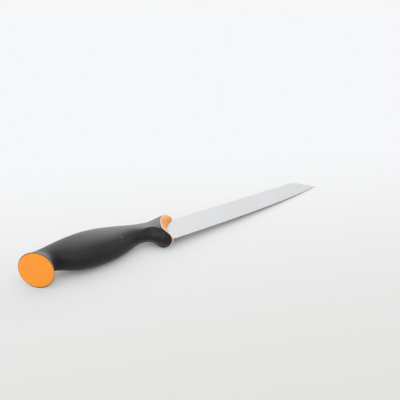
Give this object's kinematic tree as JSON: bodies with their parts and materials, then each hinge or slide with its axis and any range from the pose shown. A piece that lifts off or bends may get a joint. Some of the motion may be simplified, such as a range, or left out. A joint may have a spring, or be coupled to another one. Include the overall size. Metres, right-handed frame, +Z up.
{
  "type": "bread knife",
  "caption": "Bread knife with a straight-backed serrated steel blade and a soft black swelled handle with an orange nose and butt cap.",
  "frame": {"origin": "middle of the knife's box in plan, at table height, with the knife lying at rest on its left side", "axes": "+X from the butt towards the blade's tip, +Y towards the spine's side (the cutting edge faces -Y), +Z up off the table"},
  "size_m": [0.344, 0.0448, 0.0314],
  "materials": {
    "blade_steel": "fine satin stainless steel",
    "orange_plastic": "satin orange moulded plastic",
    "black_grip": "matte black soft-touch elastomer",
    "cap_plastic": "matte orange moulded plastic"
  },
  "bodies": {
    "root": {"blade": "blade_steel", "handle_core": "orange_plastic", "soft_grip": "black_grip", "butt_cap": "cap_plastic"}
  },
  "joints": []
}
